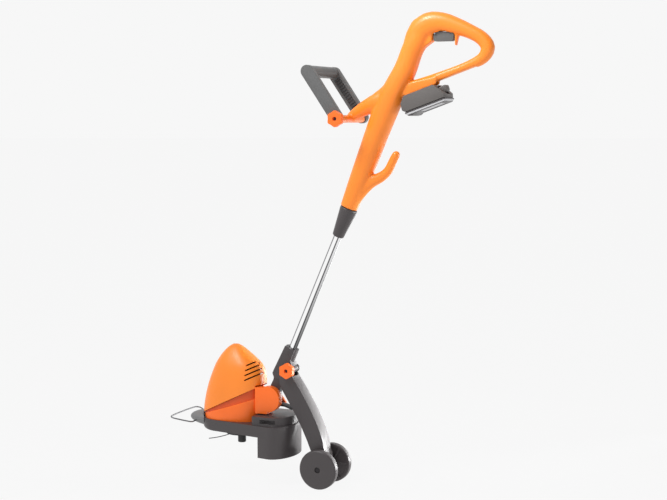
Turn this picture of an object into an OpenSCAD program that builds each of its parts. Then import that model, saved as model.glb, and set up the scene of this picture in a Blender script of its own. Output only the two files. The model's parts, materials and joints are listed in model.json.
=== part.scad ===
/* [Shaft] */
// Lean of the shaft from the vertical, in degrees
shaft_lean = 23.3; // [20:0.1:26]
// Outer diameter of the chromed tube
tube_d = 18; // [16:0.5:20]
// Wall of the chromed tube
tube_wall = 1.5; // [1:0.1:2]
// Length of the twist collar
collar_len = 70; // [60:1:75]
// Upper diameter of the twist collar
collar_top_d = 40; // [38:1:42]

/* [Wheels] */
// Diameter of each wheel
wheel_d = 90; // [80:1:94]
// Width of each wheel
wheel_w = 17; // [14:0.5:18]
// Distance over the outer faces of both wheels
track = 96; // [86:1:100]
// Diameter of the axle
axle_d = 8; // [6:0.5:9]

/* [Knobs] */
// Diameter over the lobes of the two clamp knobs
knob_d = 37; // [32:1:40]
// Number of lobes on a knob
knob_lobes = 6; // [5:1:8]

/* [Assist handle] */
// Width over both arms of the assist handle
assist_w = 160; // [146:1:166]
// Distance from the assist pivot to the cross bar
assist_reach = 126; // [120:1:135]

/* [Motor head] */
// Height of the pivot drum's centre over the ground
drum_z = 193; // [190:1:196]
// Radius of the pivot drum
drum_r = 29.5; // [29:0.5:32]
// Wall of the motor cover
cover_wall = 3; // [2.4:0.1:3.5]

/* [Guard] */
// Half width of the guard at the skirt
guard_half = 70; // [66:1:74]
// Height of the skirt's lower edge
skirt_z = 64; // [60:1:75]
// Diameter of the trimmer spool
spool_d = 74; // [70:1:76]
// Diameter of the plant guard wire
wire_d = 3.2; // [2.8:0.1:3.6]

/* [Hidden] */

$fn = 64;
eps = 0.01;
gap = 0.35;
fit = 0.05;

ORANGE = "darkorange";
GREY = "dimgray";
BLACK = "#303030";
STEEL = "silver";

// The ground frame has its origin under the axle, X to the rear and Z up.
// Every piece is moved so that the middle of the rear grip becomes the origin.
grip = [277, 0, 1028];
drum = [-133, 0, drum_z];
wheel_r = wheel_d / 2;
tube_r = tube_d / 2;
bore_r = 14;
clamp_x = 18;
clamp_s = 84;
assist_pivot = [61.5, 0, 834];
assist_tilt = -35;
arm_y = assist_w / 2 - 14;
spool_x = -214;
plate_top = 137;
plate_bottom = 133;
guard_bottom = 111;

module placed() {
    translate(-grip) children();
}

// Local Z runs up the shaft from the drum, local X points to the rear.
module on_shaft(s) {
    placed() translate(drum) rotate([0, shaft_lean, 0]) translate([0, 0, s]) children();
}

// The battery slides along local X; local Z is square to its upper face.
battery_origin = [206, 0, 887];
battery_slope = 19.7;
module on_battery() {
    placed() translate(battery_origin) rotate([0, -battery_slope, 0]) children();
}

// A flat outline in X and Z, given its width along Y between two planes.
module side_plate(y0, y1) {
    translate([0, y1, 0]) rotate([90, 0, 0]) linear_extrude(y1 - y0) children();
}

// A cylinder along Y between two planes.
module cross_rod(x, z, r, y0, y1) {
    translate([x, y1, z]) rotate([90, 0, 0]) cylinder(r = r, h = y1 - y0);
}

function arc(cx, cy, r, a0, a1, n) =
    [for (i = [0:n]) let (a = a0 + (a1 - a0) * i / n) [cx + r * cos(a), cy + r * sin(a)]];

function signed_pow(v, p) = sign(v) * pow(abs(v), p);

// Catmull-Rom interpolation of a list of stations, k steps between two stations.
function spline_point(p, i, t) =
    let (
        a = p[max(i - 1, 0)],
        b = p[i],
        c = p[i + 1],
        d = p[min(i + 2, len(p) - 1)]
    )
    0.5 * (2 * b + (c - a) * t + (2 * a - 5 * b + 4 * c - d) * t * t
        + (3 * b - a - 3 * c + d) * t * t * t);

function spline(p, k) =
    concat([for (i = [0:len(p) - 2], j = [0:k - 1]) spline_point(p, i, j / k)],
        [p[len(p) - 1]]);

// A closed skin over equal rings of points, each ring clockwise as seen along the path.
module skin(rings) {
    n = len(rings[0]);
    last = len(rings) - 1;
    points = [for (ring = rings, point = ring) point];
    sides = [for (i = [0:last - 1], j = [0:n - 1], half = [0, 1])
        let (a = i * n + j, b = i * n + (j + 1) % n)
        half == 0 ? [a, b, b + n] : [a, b + n, a + n]];
    start = [for (j = [0:n - 1]) n - 1 - j];
    finish = [for (j = [0:n - 1]) last * n + j];
    polyhedron(points, concat(sides, [start, finish]));
}

// A limb in the X-Z plane through stations [x, z, half height, half width].
limb_sides = 20;
limb_steps = 3;
limb_power = 0.9;
module limb(stations) {
    path = spline(stations, limb_steps);
    last = len(path) - 1;
    skin([for (i = [0:last])
        let (
            p = path[i],
            q = path[min(i + 1, last)] - path[max(i - 1, 0)],
            len = norm([q[0], q[1]]),
            nx = -q[1] / len,
            nz = q[0] / len
        )
        [for (j = [0:limb_sides - 1])
            let (
                a = 360 * j / limb_sides,
                u = p[2] * signed_pow(cos(a), limb_power),
                v = p[3] * signed_pow(sin(a), limb_power)
            )
            [p[0] + nx * u, v, p[1] + nz * u]]]);
}

// ---- Rear housing: column, closed loop grip, assist branch and storage hook ----

column = [[57, 637, 19.5, 19.5], [83, 700, 23, 23], [104, 752, 24.8, 25], [124, 803, 26.2, 26],
    [143.5, 850, 27.5, 27], [166.5, 898, 26.5, 27], [189.5, 940, 24.8, 25], [204, 978, 23.8, 23],
    [218.5, 1008, 25.2, 22], [227, 1030, 25.7, 19], [235, 1043, 16.5, 12], [239, 1050, 4, 3]];
loop = [[206, 992, 21, 19], [220, 1018, 25.4, 21], [244, 1036, 26.6, 21], [275, 1039, 21.8, 19],
    [308, 1030, 18, 17], [338, 1018, 15.2, 16], [363, 1003.5, 15, 15], [376, 984, 15.2, 15],
    [365.5, 963, 12.8, 14], [338, 948.7, 10.7, 12], [305, 936, 10.6, 11], [272, 925, 10.8, 11],
    [238, 914.5, 10.8, 12], [205, 905, 11, 14]];
fillet = [[160, 924, 5, 10], [147, 902, 8.5, 16], [136.5, 892, 8.5, 17], [124.5, 884, 8.5, 16],
    [106, 872, 5, 10]];
branch = [[150, 882, 18, 20], [126, 871, 20, 21], [104, 861.5, 17.5, 18], [84, 851, 15, 14],
    [68, 842, 12, 11], [58, 835, 9.5, 9], [51, 832, 3, 3]];
hook = [[70, 660, 18, 16], [88, 681, 18, 14], [110, 695.5, 14, 12], [133, 706, 11.4, 11],
    [150, 720, 9.8, 10.5], [159.5, 738, 9.2, 10], [168.5, 755, 8.7, 9.5], [171.5, 761, 6, 6.5],
    [172.5, 763.5, 2, 2]];
screw_spots = [[71, 715], [95, 770], [122, 834], [196, 945], [352, 1002], [318, 942.5]];

module housing_solid() {
    limb(column);
    limb(loop);
    limb(branch);
    limb(fillet);
    limb(hook);
    cross_rod(assist_pivot[0], assist_pivot[2], 8.5, -arm_y + gap, arm_y - gap);
    side_plate(-14, 14)
        polygon([[172, 880], [198, 884], [265.5, 908], [265.5, 925], [250, 921], [208, 914]]);
    side_plate(-8, 8) polygon([[303.4, 1022], [312, 1016.5], [306, 989], [303.6, 989]]);
    side_plate(-11, 11) polygon([[254, 1016], [254, 1000], [243.5, 993], [231.5, 984],
        [221.5, 968], [212, 985], [225, 1015]]);
}

// Room for the telescoping tube, the trigger, the switch, the leads and the battery rail.
trigger_top = 1019;
trigger_axis = [260, 1016];
module housing_hollows() {
    cross_rod(trigger_axis[0], trigger_axis[1], 1.5, -11, 11);
    translate(drum) rotate([0, shaft_lean, 0]) translate([0, 0, 420]) cylinder(r = bore_r, h = 312);
    translate([254.6, -8, 1002]) cube([48, 16, 24]);
    translate([250, -10, trigger_top]) cube([56, 20, 22]);
    side_plate(-4, 4)
        polygon([[196, 925], [206, 925], [236, 1010], [252, 1026], [252, 1034], [226, 1018]]);
    side_plate(-4, 4) polygon([[188, 900], [200, 892], [206, 925], [196, 925]]);
    cross_rod(assist_pivot[0], assist_pivot[2], 4.3, -arm_y - 1, arm_y + 1);
    for (spot = screw_spots) {
        cross_rod(spot[0], spot[1], 2, -9, 9);
        cross_rod(spot[0], spot[1], 3.6, 8.5, 40);
    }
    translate(battery_origin) rotate([0, -battery_slope, 0]) {
        translate([-3, -9, -20]) cube([160, 18, 22.6]);
        translate([-3, -13, 2.4]) cube([160, 26, 3.7]);
        translate([-25.5, -40, -50]) cube([170, 80, 50]);
        translate([44, -6.5, -2]) cube([11, 13, 12]);
        translate([-14, -12, -1]) cube([12, 24, 14]);
    }
}

module housing_half(side) {
    intersection() {
        difference() {
            housing_solid();
            housing_hollows();
        }
        translate([-100, side < 0 ? -100 : 0, 500]) cube([600, 100, 700]);
    }
}

module housing_left() {
    color(ORANGE) placed() housing_half(-1);
}

module housing_right() {
    color(ORANGE) placed() housing_half(1);
}

module housing_screws() {
    color(STEEL) placed() for (spot = screw_spots) {
        cross_rod(spot[0], spot[1], 1.9, -8, 8.6);
        difference() {
            cross_rod(spot[0], spot[1], 3.4, 8.6, 11);
            cross_rod(spot[0], spot[1], 1.2, 10, 12);
        }
    }
}

module switch_body() {
    color(BLACK) placed() {
        translate([255, -7.5, 1027]) cube([36, 15, 12]);
        translate([262, -3, 1024]) cube([8, 6, 3 + eps]);
        for (x = [258, 286]) translate([x, -5, 1039 - eps]) cube([2, 10, 1.5]);
    }
}

module handle_leads() {
    color("firebrick") placed() side_plate(-2, 2)
        polygon([[198, 918], [202, 918], [234, 1011], [250, 1028], [250, 1032], [228, 1014]]);
}

module terminal_block() {
    color(BLACK) on_battery() {
        translate([-13, -11, 0.6]) cube([8, 22, 11.6]);
        for (y = [-7, 0, 7]) translate([-5 - eps, y - 0.8, 3.4]) cube([6, 1.6, 1.4]);
    }
}

module tube_bush() {
    color(BLACK) on_shaft(492) difference() {
        cylinder(r = bore_r - 0.03, h = 30);
        translate([0, 0, -1]) cylinder(r = tube_r + fit, h = 32);
    }
}

module trigger() {
    color(GREY) placed() {
        difference() {
            side_plate(-7.4, 7.4) polygon(concat([[257.4, 1020.5]],
                arc(260.9, 1002.9, 3.5, 180, 270, 6), arc(296.4, 1003.1, 3.7, 270, 350, 6),
                [[301.4, 1008], [301.4, 1019]]));
            cross_rod(trigger_axis[0], trigger_axis[1], 1.5 + fit, -9, 9);
        }
    }
}

module trigger_pin() {
    color(STEEL) placed() cross_rod(trigger_axis[0], trigger_axis[1], 1.5, -11, 11);
}

// ---- Battery pack ----

battery_half = 31;
module battery_case() {
    color(GREY) on_battery() {
        difference() {
            side_plate(-battery_half, battery_half) polygon([[-22, -14], [-10, -0.6], [60, -0.6],
                [72, -16], [78, -26], [76, -34], [-18, -34], [-23.5, -29]]);
            translate([-15, -27, -30]) cube([84, 54, 22]);
            translate([-15, -27, -35]) cube([84, 54, 6]);
            translate([58, -10.4, -27]) cube([30, 20.8, 33]);
        }
        translate([2, -8.4, -0.6 - eps]) cube([50, 16.8, 3.5]);
        difference() {
            translate([2, -12.4, 2.8]) cube([50, 24.8, 2.7]);
            translate([43.7, -6.8, 1]) cube([11.6, 13.6, 8]);
        }
    }
}

module battery_lid() {
    color(BLACK) on_battery() difference() {
        side_plate(-battery_half + 1.5, battery_half - 1.5) polygon([[-18, -34.3], [76, -34.3],
            [78, -38], [72, -43], [2, -43], [-4, -46], [-13, -45], [-20, -38]]);
        translate([10, -20, -50]) cube([52, 40, 9]);
    }
}

module battery_cells() {
    color("steelblue") on_battery() for (i = [0:3])
        cross_rod(-5.6 + 18.2 * i, -19.5, 8.9, -26, 26);
}

module battery_contacts() {
    color("gold") on_battery() for (y = [-7, 7], side = [-1, 1])
        translate([-1.5, y + side * 1.3 - 0.3, 3]) cube([3, 0.6, 2]);
}

module battery_latch() {
    color(BLACK) on_battery() {
        side_plate(-9.8, 9.8) polygon([[59, -22], [78, -22], [82, -19], [82, -9], [78, -6.5],
            [66, -8], [59, -8]]);
    }
}

// ---- Assist handle ----

module on_assist() {
    placed() translate(assist_pivot) rotate([0, assist_tilt, 0]) children();
}

// One arm seen from the side: a rounded foot at the pivot, wider at the cross bar.
bar_r = 13;
function arm_outline() = concat(arc(-0.5, 4.5, 13.5, 180, 360, 16),
    arc(0.5, assist_reach, bar_r + 0.8, 0, 180, 16));

module assist_frame() {
    color(GREY) on_assist() difference() {
        union() {
            for (middle = [7 - assist_w / 2, assist_w / 2 - 7])
                side_plate(middle - 7, middle + 7) polygon(arm_outline());
            cross_rod(0.5, assist_reach, bar_r, -arm_y - 1, arm_y + 1);
        }
        cross_rod(0, 0, 4.25, -100, 100);
        for (side = [-1, 1]) translate([-7, side * (arm_y + 0.9) - 1, 26]) cube([15, 2, 84]);
        translate([0, assist_w / 2 - 4, 0]) rotate([-90, 0, 0]) cylinder(r = 7.2, h = 10);
    }
}

rib_pitch = 7;
module assist_pads() {
    color(BLACK) on_assist() for (side = [-1, 1]) translate([0, side * arm_y, 0]) {
        translate([-6.8, side * 0.95 - 0.95, 26.2]) cube([14.6, 1.9, 83.6]);
        for (i = [0:11]) translate([-6.8, -side * 0.8 - 0.9, 28 + rib_pitch * i]) cube([14.6, 1.8, 3.2]);
    }
}

module assist_nut() {
    color(BLACK) on_assist() translate([0, assist_w / 2 - 3.9, 0]) rotate([-90, 0, 0]) difference() {
        cylinder(r = 7, h = 8.4);
        translate([0, 0, -1]) cylinder(r = 4 + fit, h = 11);
    }
}

// A many sided knob with blunt corners and a shallow scoop in each side, one corner up.
module lobed_knob(h, lean) {
    step = 360 / knob_lobes;
    flat = knob_d / 2 * cos(step / 2);
    scoop = 22;
    rotate(lean) difference() {
        intersection() {
            rotate(90) cylinder(r = knob_d / 2, h = h, $fn = knob_lobes);
            cylinder(r = knob_d / 2 - 0.7, h = h);
        }
        for (i = [0:knob_lobes - 1]) rotate(90 + step * (i + 0.5))
            translate([flat + scoop - 0.4, 0, -1]) cylinder(r = scoop, h = h + 2);
        translate([0, 0, h - 4.5]) cylinder(r = 4.6, h = 5);
        translate([0, 0, -1]) cylinder(r = 4, h = h - 1);
    }
}

// The knob's face points to the near side.
module knob_on(y_face, h, lean = 0) {
    translate([0, y_face + h, 0]) rotate([90, 0, 0]) lobed_knob(h, lean);
}

assist_knob_face = -assist_w / 2 - 12.4;
module assist_knob() {
    color(ORANGE) on_assist() knob_on(assist_knob_face, 12, assist_tilt);
}

module assist_bolt() {
    color(STEEL) on_assist() cross_rod(0, 0, 4, assist_knob_face + 5, assist_w / 2 + 4.5);
}

// ---- Collar, tube and yoke ----

collar_s = 412;
module lock_collar() {
    color(GREY) on_shaft(collar_s) difference() {
        rotate_extrude() polygon(concat([[0, 0], [8.7, 0]], arc(8.7, 4.8, 4.8, 270, 350, 8),
            [[collar_top_d / 2, collar_len - 3], [collar_top_d / 2 - 1, collar_len]],
            [[0, collar_len]]));
        translate([0, 0, -1]) cylinder(r = tube_r + gap, h = collar_len + 2);
    }
}

tube_foot = 66;
tube_len = 560;
module shaft_tube() {
    color(STEEL) on_shaft(tube_foot) difference() {
        cylinder(r = tube_r, h = tube_len);
        translate([0, 0, -1]) cylinder(r = tube_r - tube_wall, h = tube_len + 2);
    }
}

module tube_plug() {
    color(BLACK) on_shaft(tube_foot + tube_len) difference() {
        union() {
            cylinder(r = bore_r - gap, h = 10);
            translate([0, 0, -12]) cylinder(r = tube_r - tube_wall - 0.02, h = 13);
        }
        translate([0, 0, -20]) cylinder(r = 5, h = 40);
    }
}

module shaft_lead() {
    color(BLACK) on_shaft(tube_foot + 4) cylinder(r = 3.2, h = tube_len + 20);
}

// Side outline of the yoke in shaft coordinates, from the drum hub up to the socket.
yoke_half = 14.2;
yoke_screw_s = [86, 106];
yoke_seat = -15.6;
module yoke() {
    color(GREY) on_shaft(0) difference() {
        union() {
            translate([0, 0, 56]) cylinder(r = yoke_half, h = 66);
            translate([-1.5, 0, 114]) cylinder(r = 15, h = 15.5);
            side_plate(-yoke_half, yoke_half) polygon(concat([[-14.6, 129.5], [-18.6, 66], [-18.6, 57],
                [-11, 49], [14, 50]], arc(clamp_x, clamp_s, 9, 250, 440, 16), [[10.5, 104], [10.5, 129.5]]));
            side_plate(-11.4, 11.4) polygon([[-14, 54], [-11.5, 44], [-13, 8], [10, 12], [14, 52]]);
            cross_rod(0, 0, 19, -11.4, 11.4);
        }
        translate([0, 0, tube_foot]) cylinder(r = tube_r + fit / 2, h = 100);
        cross_rod(0, 0, 5, -20, 20);
        translate([0, 0, 10]) cylinder(r = 4.5, h = 60);
        cross_rod(clamp_x, clamp_s, 4.3, -20, 20);
        for (s = yoke_screw_s) translate([yoke_seat, 0, s]) rotate([0, 90, 0]) {
            cylinder(r = 2.1, h = 7);
            translate([0, 0, -6]) cylinder(r = 4.2, h = 6);
        }
    }
}

module yoke_screws() {
    color(STEEL) on_shaft(0) for (s = yoke_screw_s) translate([yoke_seat, 0, s]) rotate([0, 90, 0]) {
        cylinder(r = 2, h = 6.4);
        translate([0, 0, -1.8]) cylinder(r = 3.8, h = 1.8);
    }
}

// ---- Wheel arm ----

clamp = drum + [clamp_x * cos(shaft_lean) + clamp_s * sin(shaft_lean), 0,
    clamp_s * cos(shaft_lean) - clamp_x * sin(shaft_lean)];
arm_half = 19;
clamp_knob_face = -36.5;

module clamp_knob() {
    color(ORANGE) placed() translate(clamp) knob_on(clamp_knob_face, 12);
}

module clamp_bolt() {
    color(STEEL) placed() cross_rod(clamp[0], clamp[2], 4, clamp_knob_face + 5, 25);
}

module clamp_nut() {
    color(GREY) placed() translate([clamp[0], arm_half + 0.1, clamp[2]]) rotate([-90, 0, 0]) difference() {
        union() {
            cylinder(r = 7.5, h = 4.5);
            cylinder(r = 6, h = 8);
        }
        translate([0, 0, -1]) cylinder(r = 4 + fit, h = 12);
    }
}

// Centre line of the curved arm as [x, z, half depth], from the clamp to the axle.
arm_line = [[-94, 262, 13], [-89.3, 236, 18.7], [-70.4, 205, 19.9], [-44, 160.5, 19.9],
    [-23.6, 118, 19.2], [-12.5, 85, 16.7], [-4, 62, 14.5], [0, 45, 13]];
function arm_side(side) =
    let (path = spline(arm_line, 4), last = len(path) - 1)
    [for (i = [0:last])
        let (q = path[min(i + 1, last)] - path[max(i - 1, 0)], len = norm([q[0], q[1]]))
        [path[i][0] - side * path[i][2] * q[1] / len, path[i][1] + side * path[i][2] * q[0] / len]];
function backwards(list) = [for (i = [len(list) - 1:-1:0]) list[i]];

module wheel_arm() {
    color(GREY) placed() difference() {
        union() {
            side_plate(-arm_half, arm_half) polygon(concat(arm_side(1), backwards(arm_side(-1))));
            cross_rod(-94, 262, 13, -arm_half, arm_half);
            cross_rod(clamp[0], clamp[2], 9.5, clamp_knob_face + 12.3, arm_half);
            cross_rod(0, wheel_r, 14, -arm_half, arm_half);
            cross_rod(0, wheel_r, 10, -track / 2 + wheel_w + 1, track / 2 - wheel_w - 1);
        }
        difference() {
            translate([clamp[0], 0, clamp[2]]) rotate([0, shaft_lean, 0])
                translate([-60, -yoke_half - gap, -44]) cube([120, 2 * (yoke_half + gap), 100]);
            side_plate(-arm_half, arm_half)
                polygon([[-78.3, 246.8], [-68, 251], [-40, 225], [-30, 195], [-49, 200], [-56.8, 213]]);
        }
        cross_rod(clamp[0], clamp[2], 4.3, -30, 30);
        cross_rod(0, wheel_r, axle_d / 2, -40, 40);
    }
}

module axle() {
    color(STEEL) placed() {
        cross_rod(0, wheel_r, axle_d / 2, -track / 2 + 2, track / 2 - 2);
        for (side = [-1, 1]) cross_rod(0, wheel_r, axle_d / 2 + 1.4, side * (track / 2 - 2.5) - 0.8,
            side * (track / 2 - 2.5) + 0.8);
    }
}

// Inner face at local Z 0, outer face at wheel_w.
module wheel() {
    shoulder = 4.5;
    difference() {
        rotate_extrude($fn = 96) polygon(concat([[0, 0]], arc(wheel_r - 2.5, 2.5, 2.5, 270, 360, 6),
            arc(wheel_r - shoulder, wheel_w - shoulder, shoulder, 0, 90, 8), [[0, wheel_w]]));
        translate([0, 0, -1]) cylinder(r = axle_d / 2 + fit, h = wheel_w + 2);
        translate([0, 0, wheel_w - 4]) cylinder(r = 6.5, h = 5);
        difference() {
            translate([0, 0, -1]) cylinder(r = wheel_r - 7, h = 3.5);
            translate([0, 0, -2]) cylinder(r = 9, h = 6);
            for (i = [0:5]) rotate(60 * i) translate([0, -1.5, -2]) cube([wheel_r, 3, 6]);
        }
    }
}

module wheel_left() {
    color(GREY) placed() translate([0, -track / 2 + wheel_w, wheel_r]) rotate([90, 0, 0]) wheel();
}

module wheel_right() {
    color(GREY) placed() translate([0, track / 2 - wheel_w, wheel_r]) rotate([-90, 0, 0]) wheel();
}

// ---- Motor head ----

// Cross sections of the motor housing as [z, front x, rear x, half width].
dome = [[plate_top, -306.5, -160, 46], [160, -306.5, -158, 49], [190, -301.5, -156, 50],
    [220, -293.5, -155, 48.5], [245, -284.5, -156, 45], [265, -276, -164, 40], [282, -266, -181, 32],
    [296, -255, -198, 23], [306, -244.5, -211, 14.5], [312, -235, -221, 6]];
dome_sides = 36;
module dome_solid(inset) {
    stations = spline(dome, 2);
    skin([for (s = stations)
        let (
            a = max((s[2] - s[1]) / 2 - inset, 3),
            b = max(s[3] - inset, 3),
            c = (s[1] + s[2]) / 2
        )
        [for (j = [0:dome_sides - 1])
            let (t = 360 * j / dome_sides)
            [c + a * signed_pow(cos(t), 0.82), -b * signed_pow(sin(t), 0.82), s[0] - inset * 0.6]]]);
}

// Half space over the slanted parting line between cover and base.
parting_slope = 25.7;
parting_z = 144;
module over_parting(lift) {
    translate([-315, -80, parting_z + lift]) rotate([0, -parting_slope, 0])
        translate([-40, 0, 0]) cube([300, 160, 260]);
}

vent_heights = [233.5, 244.5, 255.5, 266.5];
module motor_cover() {
    color(ORANGE) placed() difference() {
        intersection() {
            dome_solid(0);
            over_parting(0);
        }
        dome_solid(cover_wall);
        for (z = vent_heights, span = [[-64, 6], [23, 64]])
            translate([-184, span[0], z]) rotate([0, -parting_slope, 0]) cube([60, span[1] - span[0], 3]);
        translate([drum_block_x - gap, -drum_half - gap, 140])
            cube([60, drum_half + far_cheek + 2 * gap, 81.5]);
    }
}

module motor_base() {
    color("orangered") placed() difference() {
        union() {
            difference() {
                dome_solid(1.5);
                dome_solid(1.5 + cover_wall);
                over_parting(-0.6);
            }
            translate([0, 0, plate_top + 0.05]) linear_extrude(4)
                polygon(concat(arc(-262, 0, 40, 90, 270, 16), arc(-200, 0, 40, 270, 450, 16)));
        }
        translate([-330, -60, 100]) cube([200, 120, plate_top + 0.05 - 100]);
        translate([drum_block_x - gap, -60, 100]) cube([60, 120, 200]);
        translate([spool_x, 0, 130]) cylinder(r = 9, h = 20);
        for (spot = guard_screw_spots) translate([spot[0], spot[1], 130]) cylinder(r = 2, h = 20);
    }
}

// A round near cheek and a smaller far cheek on a common back, with the yoke in between.
drum_block_x = -164.5;
drum_slot = 12;
drum_half = 30.2;
far_cheek = 18;
pedal_axis = [-109.5, 179];
module pivot_drum() {
    color("orangered") placed() difference() {
        union() {
            cross_rod(drum[0], drum[2], drum_r, -drum_half, -drum_slot);
            translate([drum_block_x, -drum_half, 159]) cube([30, drum_half - drum_slot, 60.5]);
            translate([drum_block_x, -drum_slot - eps, 159]) cube([22, drum_slot + far_cheek, 52]);
            side_plate(drum_slot, far_cheek) polygon(concat(arc(drum[0], drum[2], 16, 60, 240, 20),
                arc(pedal_axis[0], pedal_axis[1], 3.6, 240, 420, 10)));
        }
        translate([-156, -drum_slot, 150]) cube([80, 2 * drum_slot, 100]);
        cross_rod(drum[0], drum[2], 5 + fit, -28, 40);
        cross_rod(pedal_axis[0], pedal_axis[1], 1.5, -18, 18.5);
    }
}

module pivot_pin() {
    color(STEEL) placed() cross_rod(drum[0], drum[2], 5, -27.7, far_cheek + 0.3);
}

motor_z = 168;
motor_r = 26;
motor_h = 62;
module motor_can() {
    color(STEEL) placed() translate([spool_x, 0, motor_z]) difference() {
        cylinder(r = motor_r, h = motor_h);
        translate([0, 0, -1]) cylinder(r = 6, h = motor_h + 2);
    }
}

module motor_cap() {
    color(BLACK) placed() translate([spool_x, 0, motor_z + motor_h]) difference() {
        union() {
            cylinder(r = motor_r - 1, h = 5);
            cylinder(r = 10, h = 11);
        }
        translate([0, 0, -1]) cylinder(r = 6, h = 10);
    }
}

// ---- Guard ----

guard_screw_spots = [[-272, -22], [-272, 22], [-180, -27], [-180, 27]];
function half_oval(x, a, b, limit, n) = [
    for (i = [0:n])
        let (t = limit * (2 * i / n - 1))
        [x + a * cos(t), b * sin(t)]
];
function guard_outline(inset) = concat(
    half_oval(-112, 40 - inset, guard_half - inset, 96, 28),
    arc(-266, 0, 44 - inset, 96, 264, 24));
function ridge_outline(inset) = concat(
    half_oval(-112, 35 - inset, 54 - inset, 90, 20),
    [[-161 + inset, 54 - inset], [-161 + inset, -54 + inset]]);

module guard() {
    wall = 3;
    ridge_top = 156;
    color(GREY) placed() difference() {
        union() {
            translate([0, 0, guard_bottom]) linear_extrude(plate_top - guard_bottom)
                polygon(guard_outline(0));
            intersection() {
                translate([0, 0, skirt_z]) linear_extrude(guard_bottom - skirt_z + eps)
                    polygon(guard_outline(0));
                translate([-141, -100, 0]) cube([100, 200, 200]);
            }
            translate([0, 0, plate_bottom]) linear_extrude(ridge_top - plate_bottom)
                polygon(ridge_outline(0));
        }
        translate([0, 0, skirt_z - 1]) linear_extrude(plate_bottom - skirt_z + 1)
            polygon(guard_outline(wall));
        translate([0, 0, plate_bottom - eps]) linear_extrude(ridge_top - plate_bottom - wall)
            polygon(ridge_outline(wall));
        translate([-141, -60, 141]) cube([38, 120, 9]);
        translate([spool_x, 0, 100]) cylinder(r = 14, h = 60);
        for (spot = guard_screw_spots) translate([spot[0], spot[1], 100]) cylinder(r = 2.2, h = 60);
    }
}

module guard_screws() {
    color(STEEL) placed() for (spot = guard_screw_spots) translate([spot[0], spot[1], 0]) {
        translate([0, 0, 130.4]) cylinder(r = 4, h = plate_bottom - 130.4);
        translate([0, 0, 132]) cylinder(r = 1.95, h = 14);
    }
}

wire_pivot = [-322, 0, 128];
module guard_nose() {
    color("gray") placed() difference() {
        skin([for (i = [0:11])
            let (
                t = i / 11,
                q = sqrt(max(1 - t * t, 0.004)),
                half_y = 7 + 25 * q,
                half_z = 1 + 16 * q
            )
            [for (j = [0:27])
                let (a = 360 * j / 28)
                [
                    -298 - 46.5 * t,
                    -half_y * signed_pow(sin(a), 0.85),
                    132.5 + 2.5 * t + half_z * signed_pow(cos(a), 0.9)
                ]]]);
        translate([0, 0, 100]) linear_extrude(60) polygon(guard_outline(-fit));
        cross_rod(wire_pivot[0], wire_pivot[2], wire_d / 2 + 0.08, -60, 60);
    }
}

module line_cutter() {
    color(STEEL) placed() translate([-140.8, -62.4, 88]) cube([18, 1.9, 22]);
}

// ---- Tilt pedal ----

module tilt_pedal() {
    color(BLACK) placed() difference() {
        union() {
            side_plate(-10, 10)
                polygon([[-109.5, 182.4], [-97, 178.6], [-80, 172.6], [-80, 169.1], [-100, 175.2],
                    [-109.5, 175.6]]);
            cross_rod(pedal_axis[0], pedal_axis[1], 3.4, -10, 10);
        }
        cross_rod(pedal_axis[0], pedal_axis[1], 1.5 + fit, -20, 20);
    }
}

module pedal_pin() {
    color(STEEL) placed() cross_rod(pedal_axis[0], pedal_axis[1], 1.5, -18, 18);
}

// ---- Spindle, spool and line ----

cup_top = 131;
cup_bottom = 106;
module drive_shaft() {
    color(STEEL) placed() translate([spool_x, 0, 114]) cylinder(r = 4, h = 121);
}

module motor_fan() {
    color(BLACK) placed() translate([spool_x, 0, 151]) difference() {
        union() {
            cylinder(r = 8, h = 9);
            cylinder(r = 24, h = 1.6);
            for (i = [0:8]) rotate(40 * i) translate([7, -0.8, 0]) cube([17, 1.6, 9]);
        }
        translate([0, 0, -1]) cylinder(r = 4, h = 12);
    }
}

module spool_cup() {
    color(BLACK) placed() translate([spool_x, 0, cup_bottom]) difference() {
        cylinder(r = spool_d / 2, h = cup_top - cup_bottom);
        translate([0, 0, -1]) cylinder(r = spool_d / 2 - 2.5, h = cup_top - cup_bottom - 1.5);
        cylinder(r = 4, h = 40);
        for (a = [90, 270]) rotate(a) translate([spool_d / 2 - 4, 0, 10]) rotate([0, 90, 0])
            cylinder(r = 1.6, h = 8, $fn = 24);
    }
}

module spool_bobbin() {
    color("whitesmoke") placed() translate([spool_x, 0, 110]) difference() {
        union() {
            cylinder(r = 18, h = 18);
            cylinder(r = 33, h = 1.8);
            translate([0, 0, 16.2]) cylinder(r = 33, h = 1.8);
        }
        translate([0, 0, -1]) cylinder(r = 13, h = 16);
        translate([0, 0, -1]) cylinder(r = 4, h = 20);
    }
}

module line_wound() {
    color("lightyellow") placed() translate([spool_x, 0, 111.9]) difference() {
        cylinder(r = 29, h = 14.2);
        translate([0, 0, -1]) cylinder(r = 18.1, h = 17);
    }
}

// A round wire through a list of points, none of its stretches upright.
module wire(points, r, steps, sides) {
    path = spline(points, steps);
    last = len(path) - 1;
    skin([for (i = [0:last])
        let (
            q = path[min(i + 1, last)] - path[max(i - 1, 0)],
            t = q / norm(q),
            side = cross(t, [0, 0, 1]) / norm(cross(t, [0, 0, 1])),
            up = cross(side, t)
        )
        [for (j = [0:sides - 1])
            let (a = 360 * j / sides)
            path[i] + r * (cos(a) * side + sin(a) * up)]]);
}

line_stations = [[0, -30, 116], [0, -34, 116], [0, -38.5, 115.6], [-3, -43.5, 111.6],
    [-9, -49.5, 108.4], [-19, -58.5, 105.4], [-32, -69, 102.8], [-46, -77.5, 101.2]];
module line_tail() {
    color("dimgray") placed() translate([spool_x, 0, 0]) wire(line_stations, 1, 3, 10);
}

module spool_cap() {
    color(BLACK) placed() translate([spool_x, 0, 103.5]) difference() {
        cylinder(r = spool_d / 2 - 1, h = 2.5 - eps);
        translate([0, 0, -1]) cylinder(r = 12.5, h = 5);
    }
}

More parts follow.
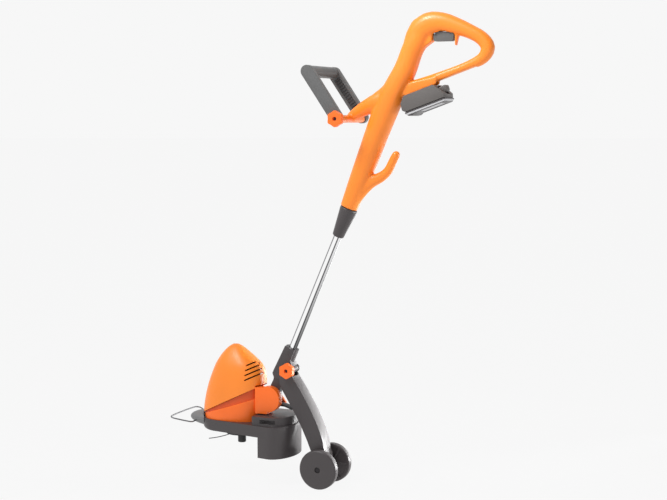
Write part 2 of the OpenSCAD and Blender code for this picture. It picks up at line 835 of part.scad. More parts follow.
module bump_knob() {
    color(BLACK) placed() translate([spool_x, 0, 81]) {
        rotate_extrude() polygon(concat([[0, 0]], arc(7, 2.5, 2.5, 270, 360, 5), [[9.5, 22], [12, 22],
            [12, 27], [0, 27]]));
    }
}

module bump_spring() {
    color(STEEL) placed() translate([spool_x, 0, 108.3]) difference() {
        cylinder(r = 9, h = 11);
        translate([0, 0, -1]) cylinder(r = 6.5, h = 17);
    }
}

// ---- Plant guard wire ----

// Half of the wire, from the pivot end to the middle of the front run.
wire_points = [[-322, -14, 128], [-322, -30, 128], [-322, -42, 128], [-325, -48, 128.8], [-334, -53.5, 131],
    [-352, -62, 135.5], [-361, -65.5, 138], [-367.5, -62.5, 139.5], [-370, -53, 140.5],
    [-371, -25, 141], [-371, 0, 141]];
module wire_guard() {
    far_half = [for (i = [len(wire_points) - 2:-1:0]) [wire_points[i][0], -wire_points[i][1],
        wire_points[i][2]]];
    color(STEEL) placed() wire(concat(wire_points, far_half), wire_d / 2, 3, 14);
}

housing_left();
housing_right();
housing_screws();
switch_body();
handle_leads();
terminal_block();
tube_bush();
trigger();
trigger_pin();
battery_case();
battery_lid();
battery_cells();
battery_contacts();
battery_latch();
assist_frame();
assist_pads();
assist_nut();
assist_knob();
assist_bolt();
lock_collar();
shaft_tube();
tube_plug();
shaft_lead();
yoke();
yoke_screws();
clamp_knob();
clamp_bolt();
wheel_arm();
clamp_nut();
axle();
wheel_left();
wheel_right();
motor_cover();
motor_base();
pivot_drum();
pivot_pin();
motor_can();
motor_cap();
guard();
guard_screws();
guard_nose();
line_cutter();
tilt_pedal();
pedal_pin();
drive_shaft();
motor_fan();
spool_cup();
spool_bobbin();
line_wound();
line_tail();
spool_cap();
bump_knob();
bump_spring();
wire_guard();
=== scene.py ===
import json
import math
from contextlib import contextmanager

import bmesh
import bpy
from mathutils import Matrix, Vector


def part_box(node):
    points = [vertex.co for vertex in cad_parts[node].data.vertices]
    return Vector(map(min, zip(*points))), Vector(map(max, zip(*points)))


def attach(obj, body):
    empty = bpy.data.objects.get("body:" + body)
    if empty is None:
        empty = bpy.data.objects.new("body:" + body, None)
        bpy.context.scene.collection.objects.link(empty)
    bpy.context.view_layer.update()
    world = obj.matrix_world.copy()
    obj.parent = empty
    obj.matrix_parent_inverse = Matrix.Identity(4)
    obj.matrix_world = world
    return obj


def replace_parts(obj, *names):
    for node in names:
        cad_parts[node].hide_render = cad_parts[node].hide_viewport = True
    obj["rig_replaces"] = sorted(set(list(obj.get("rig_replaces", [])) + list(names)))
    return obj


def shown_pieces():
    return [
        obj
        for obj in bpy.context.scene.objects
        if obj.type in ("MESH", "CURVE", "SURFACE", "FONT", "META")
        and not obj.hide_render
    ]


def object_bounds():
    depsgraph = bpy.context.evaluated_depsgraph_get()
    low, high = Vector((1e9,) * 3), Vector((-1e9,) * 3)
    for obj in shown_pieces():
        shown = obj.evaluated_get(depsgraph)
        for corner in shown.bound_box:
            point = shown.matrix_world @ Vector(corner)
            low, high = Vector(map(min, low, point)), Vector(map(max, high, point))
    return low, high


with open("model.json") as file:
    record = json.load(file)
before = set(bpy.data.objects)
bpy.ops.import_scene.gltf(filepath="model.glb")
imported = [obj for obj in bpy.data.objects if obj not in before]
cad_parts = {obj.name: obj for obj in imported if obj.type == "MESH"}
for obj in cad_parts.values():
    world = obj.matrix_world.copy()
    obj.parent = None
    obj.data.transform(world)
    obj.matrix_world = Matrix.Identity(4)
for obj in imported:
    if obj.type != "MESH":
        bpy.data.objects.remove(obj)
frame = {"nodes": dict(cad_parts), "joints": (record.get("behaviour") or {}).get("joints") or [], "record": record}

CAD_LOW, CAD_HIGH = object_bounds()
CENTRE = (CAD_LOW + CAD_HIGH) / 2
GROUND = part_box("wheel_left")[0].z
RECORD = frame["record"]
BODY_OF = {node: body for body, nodes in RECORD["behaviour"]["bodies"].items() for node in nodes}
SLOT_OF = {row["node"]: row["material_slot"] for row in RECORD["subparts"]}
JOINT = {joint["name"]: joint for joint in frame["joints"]}
AXLE = Vector(JOINT["wheel_left_roll"]["pos_m"])
MM = 0.001


def place(x, y, z):
    """A point given in mm from the ground under the axle."""
    return Vector((AXLE.x + x * MM, y * MM, GROUND + z * MM))


# ---- Materials ----

# Noise between these two values is spread over the whole of a ramp.
NOISE_SPAN = (0.3, 0.7)
SPARK_GRAIN = 1400
PEBBLE_GRAIN = 900
METAL_GRAIN = 500


def srgb(red, green, blue):
    """A colour given as 0 to 255 display values, made linear."""
    def linear(value):
        value /= 255
        return value / 12.92 if value <= 0.04045 else ((value + 0.055) / 1.055) ** 2.4
    return (linear(red), linear(green), linear(blue), 1)


def shaded(colour, factor):
    return tuple(channel * factor for channel in colour[:3]) + (1,)


def new_material(name):
    material = bpy.data.materials.new(name)
    material.use_nodes = True
    tree = material.node_tree
    return material, tree, tree.nodes["Principled BSDF"]


def noise_node(tree, scale, detail):
    """Noise over the piece's own coordinates, in cycles per metre."""
    coordinates = tree.nodes.new("ShaderNodeTexCoord")
    texture = tree.nodes.new("ShaderNodeTexNoise")
    texture.inputs["Scale"].default_value = scale
    texture.inputs["Detail"].default_value = detail
    tree.links.new(coordinates.outputs["Object"], texture.inputs["Vector"])
    return texture


def ramp(tree, source, low, high):
    """Turns noise into colours or greys from low to high."""
    node = tree.nodes.new("ShaderNodeValToRGB")
    for element, value, at in zip(node.color_ramp.elements, (low, high), NOISE_SPAN):
        element.position = at
        element.color = value if isinstance(value, tuple) else (value, value, value, 1)
    tree.links.new(source.outputs["Fac"], node.inputs["Fac"])
    return node.outputs["Color"]


def grey_ramp(tree, stops, blue=1.0):
    """A ramp through greys given as (place, value), with their blue scaled."""
    node = tree.nodes.new("ShaderNodeValToRGB")
    while len(node.color_ramp.elements) < len(stops):
        node.color_ramp.elements.new(0.5)
    for element, (at, value) in zip(node.color_ramp.elements, stops):
        element.position = at
        element.color = (value, value, value * blue, 1)
    return node


def rescaled(tree, source, low, high):
    """Takes values from low to high to 0 to 1."""
    node = tree.nodes.new("ShaderNodeMapRange")
    node.inputs["From Min"].default_value = low
    node.inputs["From Max"].default_value = high
    tree.links.new(source, node.inputs["Value"])
    return node.outputs["Result"]


def generated_axes(tree):
    """The generated coordinates, with one output for each axis."""
    coordinates = tree.nodes.new("ShaderNodeTexCoord")
    split = tree.nodes.new("ShaderNodeSeparateXYZ")
    tree.links.new(coordinates.outputs["Generated"], split.inputs["Vector"])
    return split.outputs


def add_bump(tree, shader, source, strength, distance):
    bump = tree.nodes.new("ShaderNodeBump")
    bump.inputs["Strength"].default_value = strength
    bump.inputs["Distance"].default_value = distance
    tree.links.new(source.outputs["Fac"], bump.inputs["Height"])
    tree.links.new(bump.outputs["Normal"], shader.inputs["Normal"])


def plastic(name, colour, rough, coat=0.0, spread=0.06):
    """Moulded plastic: a fine spark-eroded grain, and faint changes of tone and gloss."""
    material, tree, shader = new_material(name)
    tone = ramp(tree, noise_node(tree, 9, 4), shaded(colour, 1 - spread), shaded(colour, 1 + spread))
    gloss = ramp(tree, noise_node(tree, 45, 5), rough - 0.04, rough + 0.05)
    tree.links.new(tone, shader.inputs["Base Color"])
    tree.links.new(gloss, shader.inputs["Roughness"])
    add_bump(tree, shader, noise_node(tree, SPARK_GRAIN, 2), 0.35, 0.06 * MM)
    shader.inputs["Coat Weight"].default_value = coat
    shader.inputs["Coat Roughness"].default_value = 0.2
    return material


def rubber(name, colour):
    """Soft grip rubber: matt, with a coarse pebble grain."""
    material, tree, shader = new_material(name)
    tone = ramp(tree, noise_node(tree, 30, 4), shaded(colour, 0.85), shaded(colour, 1.1))
    pebble = noise_node(tree, PEBBLE_GRAIN, 3)
    tree.links.new(tone, shader.inputs["Base Color"])
    tree.links.new(ramp(tree, pebble, 0.62, 0.8), shader.inputs["Roughness"])
    add_bump(tree, shader, pebble, 0.5, 0.2 * MM)
    return material


def metal(name, colour, rough):
    """Metal with a fine, slightly uneven surface."""
    material, tree, shader = new_material(name)
    grain = noise_node(tree, METAL_GRAIN, 4)
    tone = ramp(tree, grain, shaded(colour, 0.94), shaded(colour, 1.04))
    tree.links.new(tone, shader.inputs["Base Color"])
    tree.links.new(ramp(tree, grain, rough * 0.8, rough * 1.3), shader.inputs["Roughness"])
    add_bump(tree, shader, grain, 0.2, 0.02 * MM)
    shader.inputs["Metallic"].default_value = 1
    return material


def banded_chrome(name, across, low_bands, high_bands, span):
    """Polished tube. Painted bands of grey along it stand in for what it would mirror.

    They are placed by how far the surface turns across, and change from low_bands to
    high_bands over a span of heights, as shares of the tube.
    """
    material, tree, shader = new_material(name)
    geometry = tree.nodes.new("ShaderNodeNewGeometry")
    turn = tree.nodes.new("ShaderNodeVectorMath")
    turn.operation = "DOT_PRODUCT"
    turn.inputs[1].default_value = across
    tree.links.new(geometry.outputs["Normal"], turn.inputs[0])
    side = rescaled(tree, turn.outputs["Value"], -1, 1)
    mix = tree.nodes.new("ShaderNodeMixRGB")
    tree.links.new(rescaled(tree, generated_axes(tree)["Z"], *span), mix.inputs["Fac"])
    for socket, bands in (("Color1", low_bands), ("Color2", high_bands)):
        node = grey_ramp(tree, bands, blue=1.01)
        tree.links.new(side, node.inputs["Fac"])
        tree.links.new(node.outputs["Color"], mix.inputs[socket])
    tree.links.new(mix.outputs["Color"], shader.inputs["Base Color"])
    tree.links.new(ramp(tree, noise_node(tree, 60, 4), 0.05, 0.1), shader.inputs["Roughness"])
    shader.inputs["Metallic"].default_value = 1
    return material


def tube_share(node, end):
    """Height of a node's lower (0) or upper (1) end as a share of the tube's height."""
    low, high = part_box("shaft_tube")
    return (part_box(node)[end].z - low.z) / (high.z - low.z)


PLASTICS = {
    "orange_shell": dict(colour=srgb(255, 138, 32), rough=0.42, coat=0.16),
    "base_orange": dict(colour=srgb(255, 112, 20), rough=0.44, coat=0.1),
    # A darker copy of the base's orange: painted shade for the band under the motor cover.
    "painted_shade_orange": dict(colour=srgb(222, 84, 22), rough=0.5),
    "dark_shell": dict(colour=srgb(66, 61, 62), rough=0.4, spread=0.05),
    "handle_grey": dict(colour=srgb(94, 94, 94), rough=0.42),
    "mid_grey": dict(colour=srgb(94, 93, 92), rough=0.5),
    "nose_grey": dict(colour=srgb(118, 118, 119), rough=0.5),
    "latch_grey": dict(colour=srgb(186, 186, 188), rough=0.45),
    "black_plastic": dict(colour=srgb(32, 31, 32), rough=0.5),
    "battery_shell": dict(colour=srgb(92, 88, 86), rough=0.48),
    "bobbin_white": dict(colour=srgb(220, 220, 214), rough=0.5),
    "cell_wrap": dict(colour=srgb(60, 110, 170), rough=0.3),
    "lead_red": dict(colour=srgb(170, 30, 24), rough=0.4),
    "line_nylon": dict(colour=srgb(70, 70, 74), rough=0.3),
}
METALS = {
    "steel": dict(colour=srgb(186, 188, 192), rough=0.28),
    "dark_steel": dict(colour=srgb(58, 56, 58), rough=0.4),
    "wire_steel": dict(colour=srgb(120, 120, 122), rough=0.3),
    "contact_brass": dict(colour=srgb(222, 190, 120), rough=0.25),
}
# The tube's bands as (place across it, grey): at the yoke, and at the lock collar.
BANDS_AT_YOKE = [(0, 0.2), (0.09, 0.2), (0.15, 1), (0.5, 1), (0.55, 0.06), (0.67, 0.06),
                 (0.72, 0.2), (0.84, 0.16), (0.9, 0.05), (1, 0.05)]
BANDS_AT_COLLAR = [(0, 0.2), (0.1, 0.2), (0.16, 1), (0.5, 1), (0.55, 0.14), (0.66, 0.14),
                   (0.71, 0.9), (0.88, 0.95), (0.92, 0.45), (1, 0.45)]
# Square to the shaft and to the photo's line of sight, to within a degree.
TUBE_ACROSS = (0.869, 0.341, -0.36)
TUBE_SPAN = (tube_share("yoke", 1), tube_share("lock_collar", 0))

MATERIALS = {name: plastic(name, **finish) for name, finish in PLASTICS.items()}
MATERIALS.update((name, metal(name, **finish)) for name, finish in METALS.items())
MATERIALS["soft_grip"] = rubber("soft_grip", srgb(66, 65, 66))
MATERIALS["tube_chrome"] = banded_chrome("tube_chrome", TUBE_ACROSS, BANDS_AT_YOKE, BANDS_AT_COLLAR,
                                         TUBE_SPAN)


def paint(piece, slot, material=None):
    """Gives a piece its material: the one named, else its slot's own."""
    piece.data.materials.clear()
    piece.data.materials.append(MATERIALS[material or slot])


# ---- Mesh helpers ----

# Points closer than this, in metres, count as one.
WELD = 1e-5
# Edges sharper than these, in degrees, stay crisp: on small pieces, the motor housing, soft forms.
CREASE = 32
HEAD_CREASE = 40
SOFT_CREASE = 50


@contextmanager
def edited(piece):
    """A piece's mesh opened for editing, and written back at the end."""
    sheet = bmesh.new()
    sheet.from_mesh(piece.data)
    yield sheet
    sheet.to_mesh(piece.data)
    sheet.free()


def piece_from(mesh, name):
    piece = bpy.data.objects.new(name, mesh)
    bpy.context.scene.collection.objects.link(piece)
    return piece


def piece_of(sheet, name):
    """A piece made of a finished sheet, which is freed."""
    mesh = bpy.data.meshes.new(name)
    sheet.to_mesh(mesh)
    sheet.free()
    return piece_from(mesh, name)


def stands_for(piece, node, material=None):
    """Rides with the node's body, hides the node and takes its finish."""
    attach(piece, BODY_OF[node])
    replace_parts(piece, node)
    paint(piece, SLOT_OF[node], material)
    return piece


def apply_modifiers(piece):
    """Replaces a piece's mesh by what its modifiers make of it."""
    bpy.context.view_layer.update()
    graph = bpy.context.evaluated_depsgraph_get()
    mesh = bpy.data.meshes.new_from_object(piece.evaluated_get(graph), depsgraph=graph)
    piece.modifiers.clear()
    old = piece.data
    piece.data = mesh
    bpy.data.meshes.remove(old)


def smooth_by_angle(piece, degrees):
    """Smooth shading, with edges sharper than this angle kept crisp."""
    piece.data.shade_smooth()
    limit = math.radians(degrees)
    with edited(piece) as sheet:
        for edge in sheet.edges:
            edge.smooth = len(edge.link_faces) == 2 and edge.calc_face_angle(0) < limit


def round_edges(piece, radius, segments, degrees):
    """Rounds the edges that are sharper than this angle."""
    bevel = piece.modifiers.new("edges", "BEVEL")
    bevel.width = radius
    bevel.segments = segments
    bevel.limit_method = "ANGLE"
    bevel.angle_limit = math.radians(degrees)
    apply_modifiers(piece)


def cut_plane(sheet, point, normal, **options):
    """Cuts all of a sheet's faces along a plane."""
    everything = sheet.verts[:] + sheet.edges[:] + sheet.faces[:]
    return bmesh.ops.bisect_plane(sheet, geom=everything, plane_co=point, plane_no=normal, **options)


def cut_away(piece, cutters):
    """Takes cutters away from a piece and deletes them."""
    for cutter in cutters:
        step = piece.modifiers.new("cut", "BOOLEAN")
        step.operation = "DIFFERENCE"
        step.solver = "EXACT"
        step.object = cutter
    apply_modifiers(piece)
    for cutter in cutters:
        bpy.data.objects.remove(cutter)


def cad_copy(name, *nodes):
    """A welded copy of one or more CAD nodes, free to be reshaped."""
    sheet = bmesh.new()
    for node in nodes:
        sheet.from_mesh(frame["nodes"][node].data)
    bmesh.ops.remove_doubles(sheet, verts=sheet.verts, dist=WELD)
    return piece_of(sheet, name)


def rounded(name, node, radius, segments=3, material=None, limit=35):
    """A CAD node with its sharp edges rounded, as moulded plastic has them."""
    piece = cad_copy(name, node)
    flat = math.radians(0.6)
    with edited(piece) as sheet:
        bmesh.ops.dissolve_limit(sheet, angle_limit=flat, verts=sheet.verts, edges=sheet.edges)
    round_edges(piece, radius, segments, limit)
    smooth_by_angle(piece, CREASE)
    return stands_for(piece, node, material)


def signed_power(value, power):
    return math.copysign(abs(value) ** power, value)


def circle_steps(count):
    """Angles evenly round a circle."""
    return [2 * math.pi * j / count for j in range(count)]


def spline(points, steps):
    """Catmull-Rom curve through the points, with steps values between two of them."""
    curve = []
    for i in range(len(points) - 1):
        a, b = points[max(i - 1, 0)], points[i]
        c, d = points[i + 1], points[min(i + 2, len(points) - 1)]
        for j in range(steps):
            t = j / steps
            curve.append(tuple(
                0.5 * (2 * q + (r - p) * t + (2 * p - 5 * q + 4 * r - s) * t * t
                       + (3 * q - p - 3 * r + s) * t ** 3)
                for p, q, r, s in zip(a, b, c, d)))
    curve.append(tuple(points[-1]))
    return curve


def loft(name, rings):
    """A closed skin over equal rings of points."""
    sheet = bmesh.new()
    rows = [[sheet.verts.new(point) for point in ring] for ring in rings]
    count = len(rows[0])
    for low, high in zip(rows, rows[1:]):
        for j in range(count):
            k = (j + 1) % count
            sheet.faces.new((low[j], low[k], high[k], high[j]))
    for row in (rows[0], rows[-1]):
        hub = sheet.verts.new(sum((vertex.co for vertex in row), Vector()) / count)
        for j in range(count):
            sheet.faces.new((row[j], row[(j + 1) % count], hub))
    bmesh.ops.recalc_face_normals(sheet, faces=sheet.faces)
    return piece_of(sheet, name)


def box_sheet(low, high):
    """A sheet with a box between two corners in metres."""
    sheet = bmesh.new()
    bmesh.ops.create_cube(sheet, size=1)
    for vertex in sheet.verts:
        vertex.co = Vector([low[i] + (vertex.co[i] + 0.5) * (high[i] - low[i]) for i in range(3)])
    return sheet


def block(name, low, high, turn=0.0, pivot=None):
    """A box between two corners in mm, turned about Y at pivot."""
    sheet = box_sheet(place(*low), place(*high))
    if turn:
        about = place(*pivot)
        bmesh.ops.rotate(sheet, verts=sheet.verts, cent=about, matrix=Matrix.Rotation(-turn, 3, "Y"))
    return piece_of(sheet, name)


# ---- Rear housing ----

HALF_SEAM = 0.15 * MM
VOXEL = 2.2 * MM
SOFTENING = 7


def one_housing():
    """Both halves as one solid, remeshed and softened so that its limbs blend."""
    piece = cad_copy("housing_whole", "housing_left", "housing_right")
    with edited(piece) as sheet:
        inner = [face for face in sheet.faces if all(abs(v.co.y) < 1e-6 for v in face.verts)]
        bmesh.ops.delete(sheet, geom=inner, context="FACES")
        bmesh.ops.remove_doubles(sheet, verts=sheet.verts, dist=2 * WELD)
    remesh = piece.modifiers.new("voxels", "REMESH")
    remesh.mode = "VOXEL"
    remesh.voxel_size = VOXEL
    soften = piece.modifiers.new("soften", "SMOOTH")
    soften.factor = 0.5
    soften.iterations = SOFTENING
    apply_modifiers(piece)
    return piece


def half_shell(whole, name, side):
    """One half of the housing, cut a little short of the parting plane."""
    piece = piece_from(whole.data.copy(), name)
    with edited(piece) as sheet:
        cut = cut_plane(sheet, (0, side * HALF_SEAM, 0), (0, side, 0), clear_inner=True)
        rim = [item for item in cut["geom_cut"] if isinstance(item, bmesh.types.BMEdge)]
        bmesh.ops.holes_fill(sheet, edges=rim, sides=0)
    smooth_by_angle(piece, SOFT_CREASE)
    return piece


def build_housing():
    whole = one_housing()
    for side, node in ((-1, "housing_left"), (1, "housing_right")):
        half = half_shell(whole, node.replace("housing", "shell"), side)
        stands_for(half, node)
    bpy.data.objects.remove(whole)


# ---- Motor cover and base ----

# Cross sections of the motor housing as (height, front, rear, half width) in mm, over the
# ground, with X counted from the axle.
HEAD_SECTIONS = [
    (137, -306.5, -160, 46), (160, -306.5, -158, 49), (190, -301.5, -156, 50),
    (220, -293.5, -155, 48.5), (245, -284.5, -156, 45), (265, -276, -164, 40),
    (282, -266, -181, 32), (296, -255, -198, 23), (306, -244.5, -211, 14.5), (312, -235, -221, 6)]
HEAD_STEPS = 6
HEAD_SIDES = 112
HEAD_SQUARENESS = 0.82
PARTING_SLOPE = math.radians(25.7)
PARTING_START = (-315, 144)
# The blocks that cut the motor housing reach past it at the front, the rear and the sides.
CUT_FRONT, CUT_REAR, CUT_SIDE = -420, -60, 90
COVER_WALL = 3
BASE_INSET = 2.6
BASE_WALL = 2.9
DRUM_GAP = 0.5
# The vents as (height, end of the slot on the near side).
VENTS = ((233.5, 1), (244.5, 0), (255.5, -2), (266.5, -4))
VENT_FRONT, VENT_REAR = -186, -130
VENT_NEAR_START = -64
VENT_FAR_SPAN = (23, 64)
VENT_HEIGHT = 3.2
# The band under the cover, painted a darker orange as painted shade under the cover's lip: its ends and its
# fall, the width of its ledge, and its depth at the front and at the rear.
BAND_FRONT, BAND_REAR, BAND_FALL = -306, -178, 17
BAND_LEDGE = 0.7 * MM
BAND_SHALLOW, BAND_DEEP = 0.8, 3.5


def head_solid(name, inset):
    """The motor housing's outer form, drawn in by inset mm."""
    rings = []
    for z, front, rear, half in spline(HEAD_SECTIONS, HEAD_STEPS):
        along = max((rear - front) / 2 - inset, 2.5)
        across = max(half - inset, 2.5)
        middle = (front + rear) / 2
        rings.append([
            place(middle + along * signed_power(math.cos(t), HEAD_SQUARENESS),
                  across * signed_power(math.sin(t), HEAD_SQUARENESS), z - inset * 0.6)
            for t in circle_steps(HEAD_SIDES)])
    return loft(name, rings)


def vent_cutter(z, near, far):
    """A slot with round ends, parallel to the parting line, from y = near to y = far."""
    low = (VENT_FRONT, near, z)
    slot = block("vent", low, (VENT_REAR, far, z + VENT_HEIGHT), PARTING_SLOPE, low)
    round_edges(slot, 1.4 * MM, 3, HEAD_CREASE)
    return slot


def drum_room():
    """The room that the pivot drum takes up in the cover, open to the rear."""
    low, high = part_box("pivot_drum")
    gap = Vector((DRUM_GAP * MM, DRUM_GAP * MM, DRUM_GAP * MM))
    behind = Vector((40 * MM, 0, 0))
    return piece_of(box_sheet(low - gap, high + gap + behind), "room")


def build_motor_cover():
    cover = head_solid("cover_shell", 0)
    start = (PARTING_START[0], 0, PARTING_START[1])
    under = block("under", (CUT_FRONT, -CUT_SIDE, 20), (CUT_REAR, CUT_SIDE, start[2]),
                  PARTING_SLOPE, start)
    hollow = head_solid("hollow", COVER_WALL)
    vents = [vent_cutter(z, *span) for z, end in VENTS
             for span in ((VENT_NEAR_START, end), VENT_FAR_SPAN)]
    cut_away(cover, [under, hollow, drum_room()] + vents)
    round_edges(cover, 0.7 * MM, 2, HEAD_CREASE)
    smooth_by_angle(cover, HEAD_CREASE)
    stands_for(cover, "motor_cover")


def tuck_under_cover(base, start):
    """Steps the base's upper edge inwards: a band under the cover that deepens to the rear, painted a darker
    orange as painted shade.
    """
    front, rear = place(BAND_FRONT, 0, 0).x, place(BAND_REAR, 0, 0).x
    slope = PARTING_SLOPE - math.atan2(BAND_FALL * MM, rear - front)
    down = Vector((math.sin(slope), 0, -math.cos(slope)))
    origin = place(*start)
    middle = place(-225, 0, 0).x
    with edited(base) as sheet:
        for depth in (0, BAND_LEDGE):
            cut_plane(sheet, origin + down * depth, down)
        # Faces above the ledge take the second material, a darker orange: painted shade under the cover.
        for face in sheet.faces:
            depth = (face.calc_center_median() - origin).dot(down)
            face.material_index = int(depth < BAND_LEDGE)
        for vertex in sheet.verts:
            if (vertex.co - origin).dot(down) < WELD:
                share = min(max((vertex.co.x - front) / (rear - front), 0), 1)
                inwards = Vector(((middle - vertex.co.x) * 0.4, -vertex.co.y, 0)).normalized()
                vertex.co += inwards * (BAND_SHALLOW + (BAND_DEEP - BAND_SHALLOW) * share) * MM


def build_motor_base():
    base = head_solid("base_shell", BASE_INSET)
    start = (PARTING_START[0], 0, PARTING_START[1] - 0.8)
    over = block("over", (CUT_FRONT, -CUT_SIDE, start[2]), (CUT_REAR, CUT_SIDE, 420),
                 PARTING_SLOPE, start)
    hollow = head_solid("hollow", BASE_INSET + BASE_WALL)
    behind = (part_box("pivot_drum")[0].x - AXLE.x) / MM - 0.4
    back = block("back", (behind, -CUT_SIDE, 100), (CUT_REAR, CUT_SIDE, 400))
    cut_away(base, [over, hollow, back])
    stands_for(base, "motor_base", "base_orange")
    # The second material is painted shade for the band under the cover.
    base.data.materials.append(MATERIALS["painted_shade_orange"])
    tuck_under_cover(base, start)
    round_edges(base, 0.8 * MM, 2, HEAD_CREASE)
    smooth_by_angle(base, HEAD_CREASE)


def build_baffle():
    """A dark plate inside the motor housing, so that the vents do not show daylight."""
    plate = block("vent_baffle", (-200, -1.2, 222), (-166, 1.2, 272))
    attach(plate, BODY_OF["motor_cover"])
    paint(plate, "black_plastic")


# ---- Battery base ----

# Depths of the pale band below the shell's top: a painted highlight along the pack's lower edge.
HIGHLIGHT_BAND_TOP, HIGHLIGHT_BAND_BOTTOM = 4.2 * MM, 7.6 * MM


def build_battery_base():
    """The pack's lower shell: dark above, with a pale band along its lower edge that is a painted highlight."""
    base = rounded("battery_base", "battery_lid", 1.2 * MM)
    # The pale grey is a painted highlight on the band.
    base.data.materials.append(MATERIALS["latch_grey"])
    along = Vector(JOINT["battery_slide"]["axis"])
    up = Vector((-along.z, 0, along.x))
    top = max(vertex.co.dot(up) for vertex in base.data.vertices)
    with edited(base) as sheet:
        for depth in (HIGHLIGHT_BAND_TOP, HIGHLIGHT_BAND_BOTTOM):
            cut_plane(sheet, up * (top - depth), up)
        # Faces in the band take the pale grey: painted highlight.
        for face in sheet.faces:
            depth = top - face.calc_center_median().dot(up)
            face.material_index = int(HIGHLIGHT_BAND_TOP < depth < HIGHLIGHT_BAND_BOTTOM)
    smooth_by_angle(base, CREASE)


# ---- Guard and its nose ----

# The guard's plan as (centre, half length, half width, first and last angle), in mm and degrees.
GUARD_ARCS = ((-112, 40, 70, -96, 96), (-266, 44, 44, 96, 264))
GUARD_RIM = 111
CURL = 10 * MM
CURL_START, CURL_FULL = -225, -275
CURL_LOOPS = (0.04, 0.12, 0.25, 0.42, 0.63, 0.85)
NOSE_REAR, NOSE_LENGTH, NOSE_HEIGHT = -298, 46.5, 132.5
NOSE_STEPS = 16
NOSE_SIDES = 56


def guard_outline(extra, steps=48):
    """The guard's plan in mm: a wide oval behind, a smaller round in front."""
    points = []
    for middle, along, across, first, last in GUARD_ARCS:
        for i in range(steps + 1):
            t = math.radians(first + (last - first) * i / steps)
            points.append((middle + (along + extra) * math.cos(t), (across + extra) * math.sin(t)))
    return points


def build_nose():
    """The rounded nose, with its rear cut to the guard's front."""
    rings = []
    for i in range(NOSE_STEPS + 1):
        t = i / NOSE_STEPS
        fullness = math.sqrt(max(1 - t * t, 0.003))
        half_y, half_z = 7 + 25 * fullness, 1 + 16 * fullness
        rings.append([
            place(NOSE_REAR - NOSE_LENGTH * t, half_y * signed_power(math.sin(a), 0.85),
                  NOSE_HEIGHT + 2.5 * t + half_z * signed_power(math.cos(a), 0.9))
            for a in circle_steps(NOSE_SIDES)])
    nose = loft("nose_shell", rings)
    outline = guard_outline(0.05)
    plug = loft("plug", [[place(x, y, z) for x, y in outline] for z in (90, 170)])
    cut_away(nose, [plug])
    smooth_by_angle(nose, SOFT_CREASE)
    stands_for(nose, "guard_nose", "nose_grey")


def build_guard():
    """The guard with rounded edges; the low front edge of its rim curls under."""
    guard = rounded("guard_shell", "guard", 1.5 * MM)
    rim = place(0, 0, GUARD_RIM).z
    front, full = place(CURL_START, 0, 0).x, place(CURL_FULL, 0, 0).x
    with edited(guard) as sheet:
        for part in CURL_LOOPS:
            cut_plane(sheet, (0, 0, rim + part * CURL), (0, 0, 1))
        for vertex in sheet.verts:
            drop = rim + CURL - vertex.co.z
            if 0 < drop <= CURL * 1.01 and vertex.co.x < front:
                share = min((front - vertex.co.x) / (front - full), 1)
                share = share * share * (3 - 2 * share)
                vertex.co.x += share * (CURL - math.sqrt(max(CURL ** 2 - drop ** 2, 0)))
    smooth_by_angle(guard, CREASE)


# ---- All pieces ----

build_housing()
build_motor_cover()
build_motor_base()
rounded("drum_shell", "pivot_drum", 2.2 * MM, material="base_orange")
rounded("yoke_shell", "yoke", 1.6 * MM)
rounded("arm_shell", "wheel_arm", 2.5 * MM, 4)
rounded("trigger_shell", "trigger", 1.2 * MM)
rounded("battery_shell", "battery_case", 1.8 * MM)
rounded("latch_button", "battery_latch", 2 * MM, material="battery_shell")
rounded("collar_shell", "lock_collar", 2.5 * MM, 4)
for knob in ("assist_knob", "clamp_knob"):
    rounded(knob + "_head", knob, 0.9 * MM, material="base_orange", limit=28)
for wheel in ("wheel_left", "wheel_right"):
    rounded(wheel + "_tread", wheel, 1.2 * MM, limit=25)
rounded("pedal_shell", "tilt_pedal", 0.8 * MM)
rounded("assist_shell", "assist_frame", 3 * MM, 4, "handle_grey")
build_battery_base()
build_nose()
build_guard()
build_baffle()

# Carried-over nodes that are not painted with their slot's own material.
FINISH = {"axle": "dark_steel", "clamp_bolt": "dark_steel", "assist_bolt": "dark_steel",
          "wire_guard": "wire_steel", "yoke_screws": "dark_steel", "shaft_tube": "tube_chrome"}


def finish_carried_nodes():
    """Paints and smooths the CAD nodes that no piece stands for."""
    replaced = set()
    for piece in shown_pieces():
        replaced.update(piece.get("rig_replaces", []))
    for node, piece in frame["nodes"].items():
        if node not in replaced:
            paint(piece, SLOT_OF[node], FINISH.get(node))
            piece.data.shade_smooth()


finish_carried_nodes()

# ---- Camera, light and floor ----

PHOTO_WIDTH = 667
FOCAL = 1400
SENSOR = 36
AZIMUTH = math.radians(23.5)
PITCH = math.radians(5.35)
DISTANCE = 3.145
AIM = Vector((-0.2575, 0, -0.4873))
PAPER = srgb(247, 247, 247)
FLOOR_GLOW = 0.975
# The light from around, as (direction as a share of a turn, brightness).
ROOM_STOPS = [(0, 1), (0.28, 1), (0.36, 0.55), (0.6, 0.5), (0.7, 1), (1, 1)]
ROOM_LIGHT, ROOM_GLOSS = 0.64, 0.95
# Name, place, target, size in metres, watts, spread in degrees.
LIGHTS = (
    ("key", (-1.3, -2.0, 2.2), (-0.25, 0, -0.4), 1.6, 66, 180),
    ("side", (0.95, 0.62, -0.6), (-0.15, 0, -0.72), 0.7, 2, 45),
    ("low", (0.46, 0.95, -0.94), (-0.1, 0, -0.94), 0.16, 0.45, 40),
    ("rim", (-0.05, 1.15, -0.88), (-0.3, 0, -0.88), 0.7, 0.9, 60),
    ("crown", (-0.5, -0.8, 0.9), (0, 0, 0.02), 0.5, 0.6, 40),
)


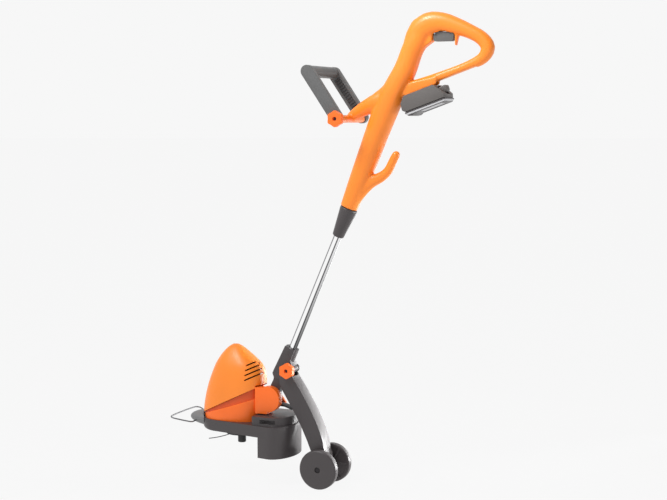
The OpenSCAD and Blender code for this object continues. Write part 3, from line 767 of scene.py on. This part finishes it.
def make_camera():
    data = bpy.data.cameras.new("camera")
    data.sensor_width = SENSOR
    data.lens = FOCAL / PHOTO_WIDTH * data.sensor_width
    data.clip_end = 100
    camera = bpy.data.objects.new("camera", data)
    bpy.context.scene.collection.objects.link(camera)
    back = Vector((math.sin(AZIMUTH) * math.cos(PITCH), -math.cos(AZIMUTH) * math.cos(PITCH),
                   math.sin(PITCH)))
    camera.location = AIM + back * DISTANCE
    camera.rotation_euler = (math.pi / 2 - PITCH, 0, AZIMUTH)
    bpy.context.scene.camera = camera


def area_light(name, at, target, size, power, spread):
    """A round light that the camera doesn't see."""
    data = bpy.data.lights.new(name, "AREA")
    data.shape = "DISK"
    data.size = size
    data.energy = power
    data.spread = math.radians(spread)
    light = bpy.data.objects.new(name, data)
    light.location = at
    light.rotation_euler = (Vector(target) - Vector(at)).to_track_quat("-Z", "Y").to_euler()
    light.visible_camera = False
    bpy.context.scene.collection.objects.link(light)


def make_floor():
    """Plain paper, lit from below as on a light table, so that shadows stay faint."""
    sheet = bmesh.new()
    bmesh.ops.create_circle(sheet, cap_ends=True, radius=60, segments=96)
    floor = piece_of(sheet, "floor")
    floor.location = (CENTRE.x, CENTRE.y, GROUND - 0.5 * MM)
    material, tree, shader = new_material("floor")
    shader.inputs["Base Color"].default_value = (0.03, 0.03, 0.03, 1)
    shader.inputs["Roughness"].default_value = 1
    shader.inputs["Specular IOR Level"].default_value = 0
    glow = ramp(tree, noise_node(tree, 40, 2), shaded(PAPER, 0.998), shaded(PAPER, 1.002))
    tree.links.new(glow, shader.inputs["Emission Color"])
    shader.inputs["Emission Strength"].default_value = FLOOR_GLOW
    floor.data.materials.append(material)


def make_world():
    """Pale to the camera; as a light it is weaker from the right, and stronger in gloss."""
    world = bpy.data.worlds.new("studio")
    world.use_nodes = True
    tree = world.node_tree
    room = tree.nodes["Background"]
    axes = generated_axes(tree)
    turn = tree.nodes.new("ShaderNodeMath")
    turn.operation = "ARCTAN2"
    tree.links.new(axes["Y"], turn.inputs[0])
    tree.links.new(axes["X"], turn.inputs[1])
    bands = grey_ramp(tree, ROOM_STOPS)
    way = rescaled(tree, turn.outputs["Value"], -math.pi, math.pi)
    tree.links.new(way, bands.inputs["Fac"])
    tree.links.new(bands.outputs["Color"], room.inputs["Color"])
    rays = tree.nodes.new("ShaderNodeLightPath")
    power = tree.nodes.new("ShaderNodeMapRange")
    power.inputs["To Min"].default_value = ROOM_LIGHT
    power.inputs["To Max"].default_value = ROOM_GLOSS
    tree.links.new(rays.outputs["Is Glossy Ray"], power.inputs["Value"])
    tree.links.new(power.outputs["Result"], room.inputs["Strength"])
    paper = tree.nodes.new("ShaderNodeBackground")
    paper.inputs["Color"].default_value = PAPER
    mix = tree.nodes.new("ShaderNodeMixShader")
    tree.links.new(rays.outputs["Is Camera Ray"], mix.inputs["Fac"])
    tree.links.new(room.outputs["Background"], mix.inputs[1])
    tree.links.new(paper.outputs["Background"], mix.inputs[2])
    tree.links.new(mix.outputs["Shader"], tree.nodes["World Output"].inputs["Surface"])
    bpy.context.scene.world = world


make_camera()
make_floor()
make_world()
for light in LIGHTS:
    area_light(*light)
bpy.context.scene.view_settings.view_transform = "Standard"

bpy.context.view_layer.update()
